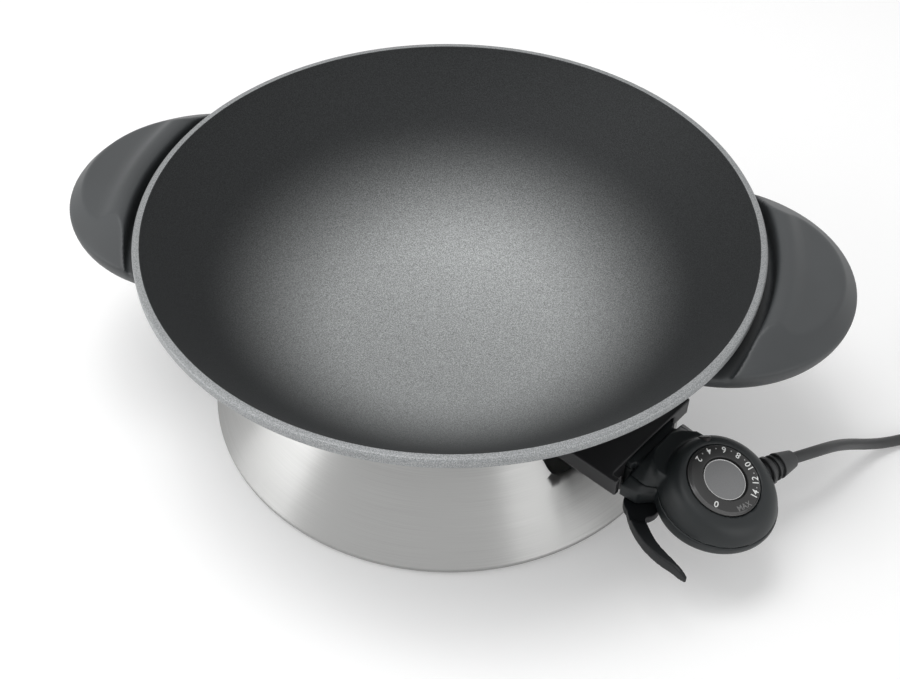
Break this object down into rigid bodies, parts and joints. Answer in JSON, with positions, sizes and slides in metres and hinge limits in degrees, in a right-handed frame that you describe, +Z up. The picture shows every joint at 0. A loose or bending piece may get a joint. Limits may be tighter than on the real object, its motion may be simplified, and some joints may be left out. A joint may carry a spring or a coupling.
{
  "type": "electric wok",
  "caption": "Electric wok: dark non-stick bowl with a speckled grey rim, black crescent handles, flared steel stand and a plug-in thermostat probe with dial, squeeze lever and lead.",
  "frame": {"origin": "on the bowl's axis, at the plane the feet stand on", "axes": "+Z up along the bowl's axis, +X through the middle of the right handle"},
  "size_m": [0.6857, 0.37, 0.1483],
  "materials": {
    "stand_steel": "brushed",
    "foot_steel": "satin",
    "foot_rubber": "matte",
    "bowl_coating": "dark non-stick coat, satin",
    "element_sheath": "satin",
    "ceramic": "matte",
    "contact_metal": "polished",
    "contact_brass": "satin",
    "screw_steel": "satin",
    "black_plastic": "satin",
    "heatproof_board": "matte",
    "lamp_red": "glossy",
    "lamp_glass": "clear",
    "cord_rubber": "satin",
    "dial_black": "satin",
    "dial_metal": "satin"
  },
  "bodies": {
    "stand": {"stand_shell": "stand_steel", "support_ring": "stand_steel", "foot_ring": "foot_steel", "feet": "foot_rubber"},
    "bowl": {"wok_bowl": "bowl_coating", "heating_element": "element_sheath", "terminal_insulators": "ceramic", "terminal_pins": "contact_metal", "connector_guard": "black_plastic", "guard_screws": "screw_steel", "right_handle": "black_plastic", "left_handle": "black_plastic", "handle_screws": "screw_steel"},
    "probe": {"probe_upper_shell": "black_plastic", "probe_lower_shell": "black_plastic", "probe_nose": "heatproof_board", "shell_screws": "screw_steel", "sensor_sheath": "contact_metal", "contact_sleeves": "contact_brass", "contact_arms": "contact_brass", "thermostat_body": "ceramic", "indicator_lens": "lamp_red", "indicator_lamp": "lamp_glass", "cord_clamp": "black_plastic", "lever_pin": "screw_steel", "cord_boot": "cord_rubber", "power_cord": "cord_rubber", "cord_coil": "cord_rubber", "cord_tail": "cord_rubber", "cord_tie": "black_plastic", "plug_body": "cord_rubber", "plug_pins": "contact_metal", "plug_earth_clips": "contact_metal"},
    "dial": {"dial_ring": "dial_black", "dial_cap": "dial_metal", "dial_shaft": "screw_steel"},
    "lever": {"release_lever": "black_plastic"}
  },
  "joints": [
    {"name": "bowl_lift", "type": "slide", "parent": "stand", "child": "bowl", "axis": [0, 0, 1], "range_m": [0, 0.07]},
    {"name": "probe_slide", "type": "slide", "parent": "bowl", "child": "probe", "axis": [0.8746, -0.4848, 0], "range_m": [0, 0.09]},
    {"name": "dial_turn", "type": "hinge", "parent": "probe", "child": "dial", "pos_m": [0.18061, -0.10011, 0.0742], "axis": [0.2645, -0.1466, 0.9532], "range_deg": [-147, 159]},
    {"name": "lever_squeeze", "type": "hinge", "parent": "probe", "child": "lever", "pos_m": [0.1386, -0.1037, 0.0445], "axis": [0, 0, 1], "range_deg": [0, 12]}
  ]
}
